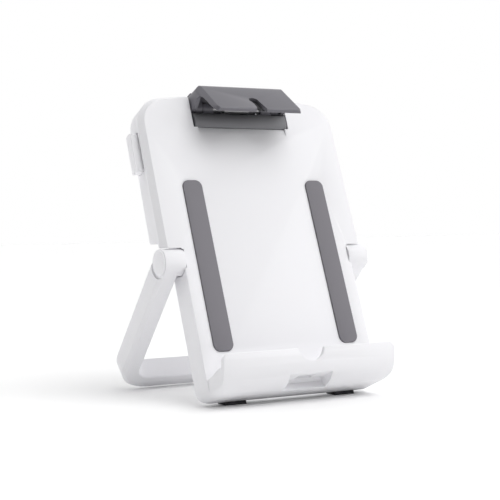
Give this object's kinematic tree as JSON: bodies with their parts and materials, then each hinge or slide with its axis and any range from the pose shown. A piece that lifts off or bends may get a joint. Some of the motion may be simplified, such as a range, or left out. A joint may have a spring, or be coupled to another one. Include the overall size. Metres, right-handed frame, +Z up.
{
  "type": "tablet stand",
  "caption": "Desk stand for a tablet: leaning panel with a lipped tray, rubber grip strips, a sprung sliding top clip and a folding U-shaped rear leg.",
  "frame": {"origin": "middle of the bounding box's bottom face, on the table under the stand", "axes": "+X to the right seen from the front, +Y from the tray towards the leg at the back, +Z up"},
  "size_m": [0.2062, 0.1832, 0.2688],
  "materials": {
    "white_shell": "fine satin moulding",
    "grey_rubber": "matt",
    "dark_rubber": "matt",
    "grey_clip": "satin",
    "bar_satin": "smooth satin",
    "dark_nylon": "matt",
    "bush_brass": "turned",
    "spring_steel": "bright drawn",
    "bright_steel": "ground"
  },
  "bodies": {
    "stand_body": {"front_panel": "white_shell", "rear_shell": "white_shell", "lower_cover": "white_shell", "grip_strip_left": "grey_rubber", "grip_strip_right": "grey_rubber", "foot_left": "dark_rubber", "foot_right": "dark_rubber", "hinge_bush_left": "bush_brass", "hinge_bush_right": "bush_brass", "friction_washer_left": "spring_steel", "friction_washer_right": "spring_steel", "slide_rod_left": "bright_steel", "slide_rod_right": "bright_steel", "shell_screws": "bright_steel", "cover_screws": "bright_steel", "carriage_spring": "spring_steel", "button_spring": "spring_steel"},
    "leg": {"leg_frame": "white_shell", "leg_cap_left": "white_shell", "leg_cap_right": "white_shell", "leg_pads": "dark_rubber", "hinge_pin_left": "bright_steel", "hinge_pin_right": "bright_steel", "hinge_nuts": "bright_steel"},
    "carriage": {"clip_carriage": "grey_clip", "clip_bar_cover": "bar_satin", "latch_strip": "dark_nylon"},
    "jaw": {"clip_jaw": "grey_clip", "jaw_pad": "dark_rubber", "jaw_pin": "bright_steel", "jaw_spring": "spring_steel"},
    "button": {"release_button": "white_shell", "brake_shoe": "dark_rubber"}
  },
  "joints": [
    {"name": "leg_hinge", "type": "hinge", "parent": "stand_body", "child": "leg", "pos_m": [0.00145, -0.01392, 0.11615], "axis": [1, 0, 0], "range_deg": [-64.25, 50]},
    {"name": "carriage_slide", "type": "slide", "parent": "stand_body", "child": "carriage", "axis": [0, 0.3746, 0.9272], "range_m": [0, 0.03], "deforming": ["carriage_spring"]},
    {"name": "jaw_hinge", "type": "hinge", "parent": "carriage", "child": "jaw", "pos_m": [0.00145, 0.03615, 0.24943], "axis": [-1, 0, 0], "range_deg": [0, 35], "stiffness_Nm_per_rad": 0.35, "springref_deg": -20.05},
    {"name": "button_slide", "type": "slide", "parent": "stand_body", "child": "button", "axis": [1, 0, 0], "range_m": [0, 0.003], "stiffness_N_per_m": 800, "springref_m": -0.001, "deforming": ["button_spring"]}
  ]
}
